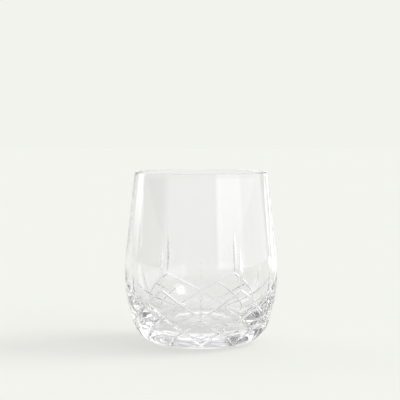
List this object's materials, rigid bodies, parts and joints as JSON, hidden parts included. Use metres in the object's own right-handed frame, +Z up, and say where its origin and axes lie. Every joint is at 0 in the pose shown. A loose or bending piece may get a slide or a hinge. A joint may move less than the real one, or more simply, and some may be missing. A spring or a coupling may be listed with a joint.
{
  "type": "whiskey tumbler",
  "caption": "Stemless rounded crystal whiskey tumbler with a thin plain upper wall and a cut lower wall of upright wedges above a diamond lattice.",
  "frame": {"origin": "centre of the flat ring that the tumbler rests on, in the plane of that ring", "axes": "+Z up along the glass's axis, out of its mouth; -Y is the front, the middle of one plain window between two of the tall upright cuts; +X is to the right seen from the front"},
  "size_m": [0.0844, 0.0844, 0.095],
  "materials": {
    "crystal": "clear, fire-polished, with wheel-cut and polished grooves"
  },
  "bodies": {
    "root": {"tumbler_glass": "crystal"}
  },
  "joints": []
}
